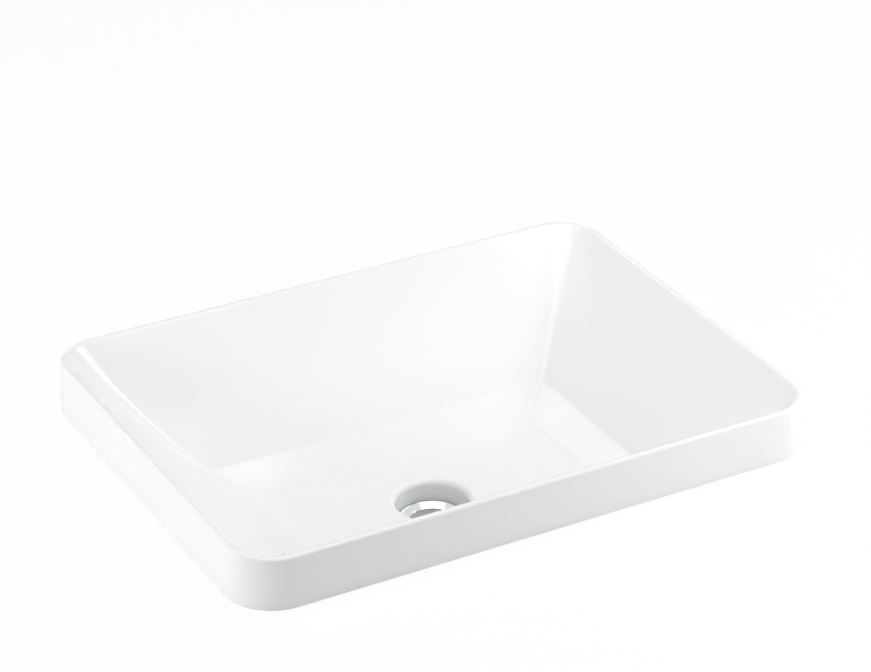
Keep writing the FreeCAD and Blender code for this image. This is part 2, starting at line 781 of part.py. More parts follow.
def make_click_spring():
    """One unbroken wire wound from the end cap up to the thrust washer."""
    wire = value("spring_wire")
    radius = value(SPRING_RADIUS)
    turns = value("spring_turns")
    low = value(END_CAP_TOP) + wire/2 + value("running_gap")
    high = value(WASHER_LOW) - wire/2 - value("running_gap")
    climb = (high - low)/turns

    def place(turn):
        angle = 2*math.pi*turn
        return FreeCAD.Vector(radius*math.cos(angle), radius*math.sin(angle), low + climb*turn)

    def way(turn):
        angle = 2*math.pi*turn
        ahead = FreeCAD.Vector(-math.sin(angle), math.cos(angle), climb/(2*math.pi*radius))
        return ahead.normalize()

    steps = max(1, round(4*turns))
    edges = []
    for step in range(steps):
        first = turns*step/steps
        last = turns*(step + 1)/steps
        edges += [arc.toShape() for arc in biarc(place(first), way(first), place(last), way(last))]
    path = Part.Wire(edges)
    section = Part.Wire([Part.Circle(place(0), way(0), wire/2).toShape()])
    shell = Part.BRepOffsetAPI.MakePipeShell(path)
    shell.add(section)
    shell.build()
    shell.makeSolid()

    samples = [place(turns*index/360) for index in range(361)]
    turn_samples = max(1, round(360/turns))
    gaps = [
        (samples[index] - other).Length - wire
        for index in range(len(samples))
        for other in samples[index + turn_samples//2:]
    ]
    print("click_spring least gap to itself", round(min(gaps), 2), "mm")

    spring = doc.addObject("Part::Feature", "click_spring")
    spring.Label = "click_spring"
    spring.Shape = shell.shape()
    spring.Placement.Base = FreeCAD.Vector(0, value("-drain_forward"), value(SEAT_Z))
    expected = math.pi*wire**2/4*path.Length
    print("click_spring volume over section times length", round(spring.Shape.Volume/expected, 4))
    return spring


# Plug

def make_plug_cap():
    """A domed cap with a hollow underside, a groove for its ring seal and a threaded boss."""
    body = new_body("plug_cap")
    groove_in = f"({SEAL_RADIUS} - seal_wire - thread_play)"
    groove_out = f"({SEAL_RADIUS} + seal_wire + thread_play)"
    groove_top = f"({SEAL_LEVEL} + seal_wire + thread_play)"
    hollow_top = f"({SEAL_LEVEL} + plug_hollow)"
    thread = "(stem_radius + thread_play)"
    thread_top = f"({STEM_TOP} + stop_gap)"
    revolve(body, "dome", [
        ("plug_radius", PLUG_EDGE_TOP, DOME_RADIUS),
        ("0", PLUG_TOP),
        ("0", thread_top),
        (thread, thread_top),
        (thread, BOSS_LOW),
        (PLUG_BOSS, BOSS_LOW),
        (PLUG_BOSS, hollow_top),
        (PLUG_SHELL, hollow_top),
        (PLUG_SHELL, SEAL_LEVEL),
        (groove_in, SEAL_LEVEL),
        (groove_in, groove_top),
        (groove_out, groove_top),
        (groove_out, SEAL_LEVEL),
        (f"({groove_out} + seal_wire/2)", SEAL_LEVEL),
        ("plug_radius", PLUG_EDGE_LOW),
    ])
    edge_top = value(PLUG_EDGE_TOP)
    fillet(body, "edge_round", f"plug_edge*{EDGE_ROUND}", lambda middle: abs(middle.z - edge_top) < CLOSE)
    return body


def make_plug_seal():
    """A rubber ring seal in the cap's groove."""
    seal = doc.addObject("Part::Torus", "plug_seal")
    seal.Label = "plug_seal"
    seal.setExpression("Radius1", formula(SEAL_RADIUS))
    seal.setExpression("Radius2", formula("seal_wire"))
    seal.setExpression("Placement.Base.y", formula("-drain_forward"))
    seal.setExpression("Placement.Base.z", formula(f"{SEAT_Z} + {SEAL_LEVEL}"))
    return seal


def make_plug_stem():
    """A threaded rod from the plunger up into the cap's boss."""
    body = new_body("plug_stem")
    outline = new_sketch(body, "outline", "XY_Plane", STEM_TOP)
    draw_circle(outline, "stem_radius")
    pad(body, "rod", outline, f"{STEM_TOP} - {PLUNGER_TOP} + stem_engagement", downwards=True)
    return body


# The object, put together from the ceramic to the plug

BUSH_RADIUS = f"({CARTRIDGE_BORE} - thread_play)"
BUSH_BORE = "(plunger_radius + running_gap)"
TAIL_THREAD = "(tail_radius + thread_play)"
STEM_THREAD = "(stem_radius + thread_play)"
HOUSING_THREAD = f"({CARTRIDGE_RADIUS} + thread_play)"
LOCK_NUT_LOW = f"({BOSS_LOW} - lock_nut_height)"

pieces = [
    make_basin(),
    make_flange_seal(),
    make_waste_body(),
    make_underside_seal(),
    make_slip_washer(),
    make_nut("backnut", "backnut_flats", TAIL_THREAD, BACKNUT_LOW, "backnut_height"),
    ring("cartridge_gasket", HOUSING_THREAD, COLLAR_RADIUS, HUB_TOP, COLLAR_LOW),
    make_cartridge_housing(),
    ring("guide_bush", BUSH_BORE, BUSH_RADIUS, BUSH_LOW, COLLAR_TOP),
    make_cartridge_end_cap(),
    make_click_spring(),
    ring("thrust_washer", "spigot_radius", CORE_RADIUS, WASHER_LOW, WASHER_TOP),
    make_latch_rotor(),
    make_plunger(),
    make_plug_stem(),
    make_nut("stem_lock_nut", "lock_nut_flats", STEM_THREAD, LOCK_NUT_LOW, "lock_nut_height"),
    make_plug_cap(),
    make_plug_seal(),
]

doc.recompute()
for item in doc.Objects:
    if "Invalid" in item.State or "Error" in item.State:
        raise RuntimeError(f"{item.Label} failed: {item.State}")
for piece in pieces:
    if piece.Shape.isNull() or not piece.Shape.isValid():
        raise RuntimeError(f"{piece.Label} has no valid shape")
    if len(piece.Shape.Solids) != 1:
        raise RuntimeError(f"{piece.Label} is not one solid")

os.makedirs("parts", exist_ok=True)
for piece in pieces:
    piece.Shape.exportStep(f"parts/{piece.Label}.step")
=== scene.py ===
import math

import bmesh
import bpy
import numpy as np
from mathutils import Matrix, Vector


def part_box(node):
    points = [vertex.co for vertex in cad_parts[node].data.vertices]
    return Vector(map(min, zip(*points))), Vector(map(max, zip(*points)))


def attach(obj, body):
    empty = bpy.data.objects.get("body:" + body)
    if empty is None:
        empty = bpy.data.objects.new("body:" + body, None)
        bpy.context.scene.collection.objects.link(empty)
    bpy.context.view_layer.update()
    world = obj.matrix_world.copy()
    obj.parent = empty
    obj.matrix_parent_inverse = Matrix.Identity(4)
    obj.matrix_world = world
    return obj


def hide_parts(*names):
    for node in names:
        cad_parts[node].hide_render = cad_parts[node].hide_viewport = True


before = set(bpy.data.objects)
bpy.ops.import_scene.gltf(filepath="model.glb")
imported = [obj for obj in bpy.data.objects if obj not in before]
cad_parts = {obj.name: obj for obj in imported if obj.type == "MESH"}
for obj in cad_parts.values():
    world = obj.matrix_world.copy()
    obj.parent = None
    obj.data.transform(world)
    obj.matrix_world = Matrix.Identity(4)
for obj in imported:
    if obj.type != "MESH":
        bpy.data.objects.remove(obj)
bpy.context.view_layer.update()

# Basin
# One slip-cast piece of vitreous china: a thin rim, a skirt that stands on the counter and a bowl that
# hangs through it. It is sprayed with white glaze and fired, and only the foot of the skirt, where it stood
# in the kiln, is bare.

MM = 0.001
basin_low, basin_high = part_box("basin")
waste_low, waste_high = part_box("waste_body")
RIM = basin_high.z
OUTLET = basin_low.z
DRAIN_Y = (waste_low.y + waste_high.y)/2
FLANGE_RADIUS = waste_high.x
SKIRT_CORNER = 45*MM
SKIRT_TAPER = 1.7*MM
SKIRT_WALL = 9*MM
SKIRT_HOLLOW = 26*MM
FOOT_ROUND = 1.5*MM
RIM_WIDTH = 7*MM
RIM_ROUND = 2.6*MM
RIM_LIP = 5*MM
BOWL_WALL = 10*MM
FLOOR_SIDE = 157*MM
FLOOR_END = 84*MM
FLOOR_CORNER = 4*MM
FLOOR_DROP = 112*MM
FLOOR_FALL = 11*MM
FLOOR_BLEND = 14*MM
FLOOR_RUN = 0.8*FLOOR_BLEND
FLOOR_CREASE = 14*MM
CREASE_ROUND = 1*MM
RECESS_GAP = 1*MM
RECESS_RADIUS = FLANGE_RADIUS + RECESS_GAP
RECESS_ROUND = 6*MM
RECESS_DEPTH = 23*MM
SEAT_FALL = 5*MM
OUTLET_RADIUS = 23*MM
BOSS_RADIUS = 44*MM
SOFT_EDGE = 2*MM

# A leaning wall of even thickness stands out by this many thicknesses more at its side and at its foot
SIDE_LEAN = 1.41
FOOT_LEAN = 0.42

FLOOR = RIM - FLOOR_DROP
DRAIN_EDGE = FLOOR - FLOOR_FALL
SEAT_TOP = DRAIN_EDGE - RECESS_DEPTH
SEAT = SEAT_TOP - SEAT_FALL

# Distances from the middle to the side, the front and the back, and the corner's radius
SKIRT = np.array([basin_high.x, basin_high.y, basin_high.y, SKIRT_CORNER])
OPENING = SKIRT - RIM_WIDTH
FLOOR_SIZE = np.array([FLOOR_SIDE, FLOOR_END - DRAIN_Y, FLOOR_END + DRAIN_Y, FLOOR_CORNER])

# The four corners in turn: right front, right back, left back and left front
QUARTERS = np.arange(4)
QUARTER_TURN = math.pi/2
CORNER_STEPS = 16
SIDE_STEPS = 26
corner_share = np.linspace(0, 1, CORNER_STEPS + 1)
side_share = np.arange(1, SIDE_STEPS)/SIDE_STEPS


def rounded_rectangles(sizes, level):
    """One rounded rectangle for each row of side, front, back and corner, at its level.

    A corner is its centre plus its radius times the cosine and sine of a quarter turn, and each side runs
    in even steps from the end of one corner to the start of the next.
    """
    side, front, back, corner = (column[:, None, None] for column in np.asarray(sizes).T)
    turn = QUARTER_TURN*(QUARTERS[:, None] - 1 + corner_share)
    across = np.where(QUARTERS < 2, 1, -1)[:, None]
    at_back = np.isin(QUARTERS, (1, 2))[:, None]
    x = across*(side - corner) + corner*np.cos(turn)
    y = np.where(at_back, back - corner, corner - front) + corner*np.sin(turn)
    z = np.broadcast_to(np.asarray(level)[:, None, None], x.shape)
    corners = np.stack([x, y, z], -1)
    start = corners[:, :, -1:]
    end = np.roll(corners, -1, 1)[:, :, :1]
    sides = start + (end - start)*side_share[:, None]
    return np.concatenate([corners, sides], 2).reshape(len(corners), -1, 3)


def about_drain(radius, level, turn):
    """Points at a radius, a level and a turn about the drain's axis.

    x is r cos t, and y is the axis's own plus r sin t.
    """
    radius, level, turn = np.broadcast_arrays(radius, level, turn)
    return np.stack([radius*np.cos(turn), DRAIN_Y + radius*np.sin(turn), level], -1)


def rounded(corners, steps=6, closed=False):
    """A profile through corners of x, z and radius, where an arc of that radius replaces each inner corner.

    The arc's centre lies on the line that halves the corner's angle, at the radius over that half's sine.
    """
    around = [corners[-1], *corners, corners[0]] if closed else corners
    points = [] if closed else [np.array([corners[0][:2]])]
    for before, here, after in zip(around, around[1:], around[2:]):
        corner = np.array(here[:2])
        to_before = np.array(before[:2]) - corner
        to_after = np.array(after[:2]) - corner
        to_before /= np.linalg.norm(to_before)
        to_after /= np.linalg.norm(to_after)
        half = math.acos(np.clip(to_before @ to_after, -1, 1))/2
        middle = (to_before + to_after)/np.linalg.norm(to_before + to_after)
        centre = corner + middle*here[2]/math.sin(half)
        sweep = np.linspace(-1, 1, steps + 1)[:, None]*(QUARTER_TURN - half)
        sideways = (to_after - to_before)/np.linalg.norm(to_after - to_before)
        points.append(centre + here[2]*(-middle*np.cos(sweep) + sideways*np.sin(sweep)))
    if not closed:
        points.append(np.array([corners[-1][:2]]))
    return np.concatenate(points)


def bowl_wall(depth, shell):
    """Sizes of the bowl at depths below the rim, plus a leaning shell.

    The sides go evenly from the opening's to the floor's. The corner tightens sooner: the share of its
    change that is still to come is the cube of the share of the depth that is.
    """
    share = np.asarray(depth)[:, None]/FLOOR_DROP
    share = np.concatenate([share, share, share, 1 - (1 - share)**3], 1)
    return OPENING + (FLOOR_SIZE - OPENING)*share + SIDE_LEAN*shell


def rim_edge(level):
    """Sizes of the round between the rim's top and the leaning wall, at levels from the rim down.

    The round is a circle that touches both, so its centre is one radius below the rim and one behind the
    wall. The corner's radius grows by as much as the side stands out past the wall.
    """
    depth = (RIM - level)[:, None]
    lean = (OPENING - FLOOR_SIZE)[:3]/FLOOR_DROP
    slope = np.sqrt(1 + lean**2)
    touch = RIM_LIP*(1 - lean/slope)
    centre = OPENING[:3] - lean*touch + RIM_LIP/slope
    height = RIM_LIP - depth
    arc = centre - np.sqrt(np.maximum(RIM_LIP**2 - height**2, 0))
    straight = bowl_wall(depth[:, 0], 0)
    size = np.where(depth < touch, arc, straight[:, :3])
    corner = straight[:, 3:] + (size - straight[:, :3])[:, :1]
    return np.concatenate([size, corner], 1)


def floor_round(share, shell, drain):
    """The round between wall and floor, in rows at shares from the wall to the floor.

    It is a parabola through a place on the wall, the foot and a place on the floor, with weights (1 - s)
    squared, 2 s (1 - s) and s squared. The foot lies a little inside the wall's own, which leaves a fine
    crease on the wall. The floor falls evenly from the foot to the drain, and its place follows that fall.
    """
    share = np.asarray(share)[:, None, None]
    depth = FLOOR_DROP - FLOOR_BLEND - FOOT_LEAN*shell
    sides_only = np.array([1, 1, 1, 0])
    foot_size = FLOOR_SIZE + FOOT_LEAN*shell - FLOOR_CREASE*sides_only
    floor_size = foot_size - FLOOR_RUN*sides_only
    sizes = [bowl_wall([depth], shell)[0], foot_size, floor_size]
    on_wall, foot, on_floor = rounded_rectangles(sizes, [RIM - depth, FLOOR - shell, FLOOR - shell])
    past = np.linalg.norm((on_floor - foot)[:, :2], axis=1)
    left = np.linalg.norm((drain - on_floor)[:, :2], axis=1)
    on_floor[:, 2] -= FLOOR_FALL*past/(past + left)
    return (1 - share)**2*on_wall + 2*share*(1 - share)*foot + share**2*on_floor


def falling_floor(outer, inner, steps):
    """The floor between a rectangle and the circle round the drain, whose lips are level.

    Each point runs straight from one to the other in plan. Its level falls at the even slope where it
    leaves the rectangle and follows a cubic, s plus s squared less s cubed, that is level at the circle.
    """
    share = np.arange(1, steps)[:, None]/steps
    plan = outer[:, :2] + (inner - outer)[:, :2]*share[..., None]
    level = outer[:, 2] + (inner - outer)[:, 2]*(share + share**2 - share**3)
    return np.concatenate([plan, level[..., None]], 2)


# Points nearer to each other than this are one
WELD = 0.001*MM


def surface(name, grid, closed=True, sharp=35):
    """Skin a grid of points whose columns go round. Where it is closed, its last row joins its first.

    Points that fall together, as at a pole, are merged, and an edge of more degrees than sharp stays sharp.
    """
    rows, columns = grid.shape[:2]
    here = np.arange(rows*columns).reshape(rows, columns)
    below = np.roll(here, -1, 0)
    if not closed:
        here = here[:-1]
        below = below[:-1]
    faces = np.stack([here, np.roll(here, -1, 1), np.roll(below, -1, 1), below], -1)
    mesh = bpy.data.meshes.new(name)
    mesh.from_pydata(grid.reshape(-1, 3).tolist(), [], faces.reshape(-1, 4).tolist())
    skin = bmesh.new()
    skin.from_mesh(mesh)
    bmesh.ops.remove_doubles(skin, verts=skin.verts, dist=WELD)
    bmesh.ops.recalc_face_normals(skin, faces=skin.faces)
    skin.to_mesh(mesh)
    skin.free()
    mesh.shade_smooth()
    mesh.set_sharp_from_angle(angle=math.radians(sharp))
    piece = bpy.data.objects.new(name, mesh)
    bpy.context.scene.collection.objects.link(piece)
    return piece


# The skirt from the inside of its hollow, round its foot and up to the middle of the rim
skirt_line = rounded([
    (SKIRT_WALL, SKIRT_HOLLOW - SOFT_EDGE, 0),
    (SKIRT_WALL, 0, FOOT_ROUND),
    (0, 0, FOOT_ROUND),
    (SKIRT_TAPER, RIM, RIM_ROUND),
    ((SKIRT_TAPER + RIM_WIDTH)/2, RIM, 0),
])
skirt_rows = rounded_rectangles(SKIRT - skirt_line[:, :1], skirt_line[:, 1])

# Down the inside: the rim's inner edge, to just past where its round meets each wall, and then the wall
EDGE_END = math.radians(43)
EDGE_ROWS = 13
WALL_START = 3*MM
WALL_ROWS = 22
edge_turn = np.linspace(QUARTER_TURN, EDGE_END, EDGE_ROWS)
edge_level = RIM - RIM_LIP*(1 - np.sin(edge_turn))
edge_rows = rounded_rectangles(rim_edge(edge_level), edge_level)
wall_foot = FLOOR_DROP - FLOOR_BLEND
wall_depth = np.append(np.linspace(WALL_START, wall_foot, WALL_ROWS)[:-1], wall_foot - CREASE_ROUND)
wall_rows = rounded_rectangles(bowl_wall(wall_depth, 0), RIM - wall_depth)

# The drain recess, its seat and the outlet, turned about the drain in the same columns as the rectangles.
# Of each quarter of the circle, a corner's columns share a few degrees and a side's columns the rest.
CORNER_DEGREES = 10
ROUND_ROWS = 15
FLOOR_ROWS = 24
corner_turn = QUARTER_TURN*(QUARTERS[:, None] - 0.5) + np.radians(CORNER_DEGREES)*(corner_share - 0.5)
side_turn = corner_turn[:, -1:] + np.radians(90 - CORNER_DEGREES)*side_share
drain_turn = np.concatenate([corner_turn, side_turn], 1).reshape(-1)
drain_line = rounded([
    (RECESS_RADIUS + 1.5*RECESS_ROUND, DRAIN_EDGE, 0),
    (RECESS_RADIUS, DRAIN_EDGE, RECESS_ROUND),
    (RECESS_RADIUS, SEAT_TOP, SOFT_EDGE/4),
    (OUTLET_RADIUS, SEAT, SOFT_EDGE/4),
    (OUTLET_RADIUS, OUTLET, SOFT_EDGE/2),
    (BOSS_RADIUS, OUTLET, SOFT_EDGE),
    (BOSS_RADIUS, DRAIN_EDGE - BOWL_WALL, SOFT_EDGE),
    (BOSS_RADIUS + 2*SOFT_EDGE, DRAIN_EDGE - BOWL_WALL, 0),
], steps=10)[1:]
drain_rows = about_drain(drain_line[:, :1], drain_line[:, 1:], drain_turn)
round_rows = floor_round(np.linspace(0, 1, ROUND_ROWS), 0, drain_rows[0])
floor_rows = falling_floor(round_rows[-1], drain_rows[0], FLOOR_ROWS)

# Back up the outside of the bowl to the ceiling of the hollow
OUTER_ROWS = 12
OUTER_WALL_ROWS = 8
outer_round = floor_round(np.linspace(1, 0, OUTER_ROWS), BOWL_WALL, drain_rows[-1])
outer_floor = falling_floor(outer_round[0], drain_rows[-1], OUTER_ROWS)[::-1]
outer_foot = wall_foot - FOOT_LEAN*BOWL_WALL
outer_head = RIM - SKIRT_HOLLOW + SOFT_EDGE
outer_depth = np.linspace(outer_foot, outer_head, OUTER_WALL_ROWS)[1:]
outer_wall = rounded_rectangles(bowl_wall(outer_depth, BOWL_WALL), RIM - outer_depth)
ceiling_size = (bowl_wall(outer_depth[-1:], BOWL_WALL) + SKIRT - SKIRT_WALL)/2
ceiling = rounded_rectangles(ceiling_size, [SKIRT_HOLLOW])

basin = surface("basin_casting", np.concatenate([
    skirt_rows, edge_rows, wall_rows, round_rows, floor_rows, drain_rows,
    outer_floor, outer_round, outer_wall, ceiling,
]))


def linear(code):
    """The linear colour of an sRGB hex code, by the sRGB curve."""
    part = np.array([int(code[start:start + 2], 16) for start in (1, 3, 5)])/255
    return (*np.where(part <= 0.04045, part/12.92, ((part + 0.055)/1.055)**2.4), 1)


def node(tree, kind, settings=(), links=()):
    """Add a node, set its properties and sockets, and link other nodes' outputs to its sockets.

    A socket goes by its name, or by its number where its name isn't its own: in a Mix node 2 and 3 are the
    two values and 6 and 7 the two colours.
    """
    made = tree.nodes.new(kind)
    for name, value in dict(settings).items():
        if isinstance(name, str) and hasattr(made, name):
            setattr(made, name, value)
        else:
            made.inputs[name].default_value = value
    for name, output in dict(links).items():
        tree.links.new(output, made.inputs[name])
    return made


def material(name):
    """A new material, its node tree and its shader."""
    made = bpy.data.materials.new(name)
    made.use_nodes = True
    return made, made.node_tree, made.node_tree.nodes["Principled BSDF"]


# White glaze on vitreous china: a glassy skin over a dense white body. The glaze flows before it sets, so
# it lies in long shallow waves with a fine orange peel, and reflections have soft, slightly wandering
# edges. It is wiped off the foot, which shows the biscuit.
GLAZE_WHITE = linear("#F4F4F3")
GLAZE_THICK = linear("#F1F2F2")
BISCUIT = linear("#E4DCCB")
BISCUIT_ROUGHNESS = 0.85
GLAZE_WAVE = 45*MM
GLAZE_PEEL = 4*MM
BARE_TO = 0.1*MM
GLAZED_FROM = 1.0*MM
JUST_BELOW_FOOT = -1*MM
FACING_DOWN = -0.7
glaze, tree, shader = material("white_glaze_on_vitreous_china")
place = node(tree, "ShaderNodeTexCoord").outputs["Object"]
normal = node(tree, "ShaderNodeNewGeometry").outputs["Normal"]
level = node(tree, "ShaderNodeSeparateXYZ", links={0: place}).outputs["Z"]
facing = node(tree, "ShaderNodeSeparateXYZ", links={0: normal}).outputs["Z"]
waves = node(tree, "ShaderNodeTexNoise", {"Scale": 1/GLAZE_WAVE, "Detail": 1}, {"Vector": place})
peel = node(tree, "ShaderNodeTexNoise", {"Scale": 1/GLAZE_PEEL, "Detail": 2}, {"Vector": place})
tint = node(tree, "ShaderNodeMix", {"data_type": "RGBA", 6: GLAZE_WHITE, 7: GLAZE_THICK},
            {0: waves.outputs[0]})
at_foot = node(tree, "ShaderNodeMapRange",
               {"From Min": BARE_TO, "From Max": GLAZED_FROM, "To Min": 1, "To Max": 0}, {"Value": level})
above_bowl = node(tree, "ShaderNodeMath", {"operation": "GREATER_THAN", 1: JUST_BELOW_FOOT}, {0: level})
downward = node(tree, "ShaderNodeMath", {"operation": "LESS_THAN", 1: FACING_DOWN}, {0: facing})
bare = node(tree, "ShaderNodeMath", {"operation": "MULTIPLY"},
            {0: at_foot.outputs[0], 1: above_bowl.outputs[0]})
bare = node(tree, "ShaderNodeMath", {"operation": "MULTIPLY"}, {0: bare.outputs[0], 1: downward.outputs[0]})
colour = node(tree, "ShaderNodeMix", {"data_type": "RGBA", 7: BISCUIT},
              {0: bare.outputs[0], 6: tint.outputs[2]})
gloss = node(tree, "ShaderNodeMapRange", {"To Min": 0.05, "To Max": 0.10}, {"Value": waves.outputs[0]})
gloss = node(tree, "ShaderNodeMix", {3: BISCUIT_ROUGHNESS}, {0: bare.outputs[0], 2: gloss.outputs[0]})
swell = node(tree, "ShaderNodeBump", {"Strength": 0.25, "Distance": 0.10*MM}, {"Height": waves.outputs[0]})
skin = node(tree, "ShaderNodeBump", {"Strength": 0.10, "Distance": 0.004*MM},
            {"Height": peel.outputs[0], "Normal": swell.outputs[0]})
shader.inputs["IOR"].default_value = 1.52
tree.links.new(colour.outputs[2], shader.inputs["Base Color"])
tree.links.new(gloss.outputs[0], shader.inputs["Roughness"])
tree.links.new(skin.outputs[0], shader.inputs["Normal"])


def fit(piece, finish, slot, body, *nodes):
    """Give a piece its finish, and set it on a body in place of CAD nodes."""
    piece.data.materials.append(finish)
    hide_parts(*nodes)
    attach(piece, body)


fit(basin, glaze, "glaze", "basin_and_waste", "basin")

# Flange seal
# A flat ring of black rubber that lies on the conical seat of the ceramic, under the waste's flange. It is
# cut from moulded sheet, so its faces are matt and finely grained.

TURN_STEPS = 96
EVEN_TURN = np.linspace(0, 2*math.pi, TURN_STEPS, endpoint=False)
SEAT_SLOPE = SEAT_FALL/(RECESS_RADIUS - OUTLET_RADIUS)
FLANGE_SEAL = 1.5*MM
FLANGE_SEAL_EDGE = 0.3*MM


def turned(line):
    """A profile of radii and levels turned evenly about the drain's axis."""
    return about_drain(line[:, :1], line[:, 1:], EVEN_TURN)


def on_seat(radius, height):
    """A corner at a radius, lying a height above the conical seat."""
    return radius, SEAT + (radius - OUTLET_RADIUS)*SEAT_SLOPE + height


seal_corners = [
    on_seat(OUTLET_RADIUS, 0), on_seat(FLANGE_RADIUS, 0),
    on_seat(FLANGE_RADIUS, FLANGE_SEAL), on_seat(OUTLET_RADIUS, FLANGE_SEAL),
]
seal_line = rounded([(*corner, FLANGE_SEAL_EDGE) for corner in seal_corners], steps=4, closed=True)
flange_seal = surface("flange_seal_ring", turned(seal_line))

# Black synthetic rubber, moulded: dull and nearly black, with a fine even grain and a faint grey bloom
RUBBER_BLACK = linear("#1A1A1B")
RUBBER_BLOOM = linear("#2B2B2C")
BLOOM_WIDTH = 9*MM
RUBBER_GRAIN = 0.5*MM
rubber, tree, shader = material("black_moulded_rubber")
place = node(tree, "ShaderNodeTexCoord").outputs["Object"]
bloom = node(tree, "ShaderNodeTexNoise", {"Scale": 1/BLOOM_WIDTH, "Detail": 3}, {"Vector": place})
grain = node(tree, "ShaderNodeTexNoise", {"Scale": 1/RUBBER_GRAIN, "Detail": 2}, {"Vector": place})
tint = node(tree, "ShaderNodeMix", {"data_type": "RGBA", 6: RUBBER_BLACK, 7: RUBBER_BLOOM},
            {0: bloom.outputs[0]})
dull = node(tree, "ShaderNodeMapRange", {"To Min": 0.5, "To Max": 0.7}, {"Value": bloom.outputs[0]})
skin = node(tree, "ShaderNodeBump", {"Strength": 0.4, "Distance": 0.03*MM}, {"Height": grain.outputs[0]})
tree.links.new(tint.outputs[2], shader.inputs["Base Color"])
tree.links.new(dull.outputs[0], shader.inputs["Roughness"])
tree.links.new(skin.outputs[0], shader.inputs["Normal"])
fit(flange_seal, rubber, "black_rubber", "basin_and_waste", "flange_seal")

# Waste body
# A turned brass tube, polished and chromed: a dished flange above, a G 1 1/4 pipe thread below for the
# backnut and the trap, and inside it a cross of four arms with a hub for the click cartridge.

FLANGE_THICKNESS = 2.2*MM
FLANGE_TOP = FLANGE_SEAL + FLANGE_THICKNESS
FLANGE_LIP = 0.9*MM
THROAT_ROUND = 1.3*MM
NECK_ROUND = 0.6*MM
MOUTH_ROUND = 0.6*MM
CRISP_EDGE = 0.3*MM
TAIL_RADIUS = 20.955*MM
TAIL_LOW = waste_low.z
BORE_RADIUS = 18*MM
BORE_START = 8*MM
SHANK_TOP = OUTLET + 6*MM
RELIEF_HIGH = SEAT - 36*MM
RELIEF_LOW = RELIEF_HIGH - 3*MM
PIPE_PITCH = 2.309*MM
PIPE_DEPTH = 1.479*MM
PITCH_STEPS = 10


def thread(radius, pitch, depth, high, low, turn):
    """A threaded stretch in rows from its high end to its low one.

    The radius falls by the depth times half of one less the cosine of the phase, which is a full turn for
    each pitch of the level less the turn about the axis. Towards both ends the crests sink to the root
    within a pitch.
    """
    rows = math.ceil((high - low)/pitch*PITCH_STEPS)
    level = np.linspace(high, low, rows + 1)[:, None]
    phase = 2*math.pi*level/pitch - turn
    groove = depth*(0.5 - 0.5*np.cos(phase))
    from_end = np.minimum(high - level, level - low)
    runout = depth*np.clip(1 - from_end/pitch, 0, 1)
    return about_drain(radius - np.maximum(groove, runout), level, turn)


root = TAIL_RADIUS - PIPE_DEPTH
flange_line = rounded([
    (BORE_RADIUS, SEAT - BORE_START, 0),
    (*on_seat(BORE_RADIUS, FLANGE_TOP), THROAT_ROUND),
    (*on_seat(FLANGE_RADIUS, FLANGE_TOP), FLANGE_LIP),
    (*on_seat(FLANGE_RADIUS, FLANGE_SEAL), CRISP_EDGE),
    (*on_seat(TAIL_RADIUS, FLANGE_SEAL), NECK_ROUND),
    (TAIL_RADIUS, SHANK_TOP + PIPE_DEPTH, CRISP_EDGE),
    (root, SHANK_TOP, 0),
])
mouth_line = rounded([
    (root, TAIL_LOW, 0),
    (BORE_RADIUS, TAIL_LOW, MOUTH_ROUND),
    (BORE_RADIUS, TAIL_LOW + BORE_START, 0),
], steps=4)
waste_tube = surface("waste_tube", np.concatenate([
    turned(flange_line),
    thread(TAIL_RADIUS, PIPE_PITCH, PIPE_DEPTH, SHANK_TOP, RELIEF_HIGH, EVEN_TURN)[1:],
    thread(TAIL_RADIUS, PIPE_PITCH, PIPE_DEPTH, RELIEF_LOW, TAIL_LOW, EVEN_TURN),
    turned(mouth_line)[1:],
]))

HUB_TOP = SEAT - 14*MM
HUB_RADIUS = 12*MM
HUB_BORE = 8.05*MM
HUB_HEIGHT = 12*MM
ARM_HEIGHT = 7*MM
ARM_HALF = 1.75*MM
ARM_EDGE = 0.5*MM
ARM_COLUMNS = 5
HUB_COLUMNS = 13
NEARLY_NOUGHT = 1e-9


def cross_turns():
    """Turns about the axis, with a column at each corner of the arms and in steps between them."""
    tip = math.asin(ARM_HALF/BORE_RADIUS)
    foot = math.asin(ARM_HALF/HUB_RADIUS)
    one_arm = np.concatenate([
        np.linspace(-tip, tip, ARM_COLUMNS),
        np.linspace(tip, foot, ARM_COLUMNS)[1:],
        np.linspace(foot, QUARTER_TURN - foot, HUB_COLUMNS)[1:],
        np.linspace(QUARTER_TURN - foot, QUARTER_TURN - tip, ARM_COLUMNS)[1:-1],
    ])
    return (one_arm + QUARTER_TURN*QUARTERS[:, None]).reshape(-1)


def cross_outline(turn, inset):
    """How far the hub and its arms reach at each turn.

    An arm's flank lies at half its width over the sine of the turn from its middle, which is cut off by the
    tube's bore at its tip and by the hub at its root.
    """
    from_arm = np.abs(np.remainder(turn + QUARTER_TURN/2, QUARTER_TURN) - QUARTER_TURN/2)
    flank = (ARM_HALF - inset)/np.maximum(np.sin(from_arm), NEARLY_NOUGHT)
    return np.maximum(np.minimum(flank, BORE_RADIUS), HUB_RADIUS - inset)


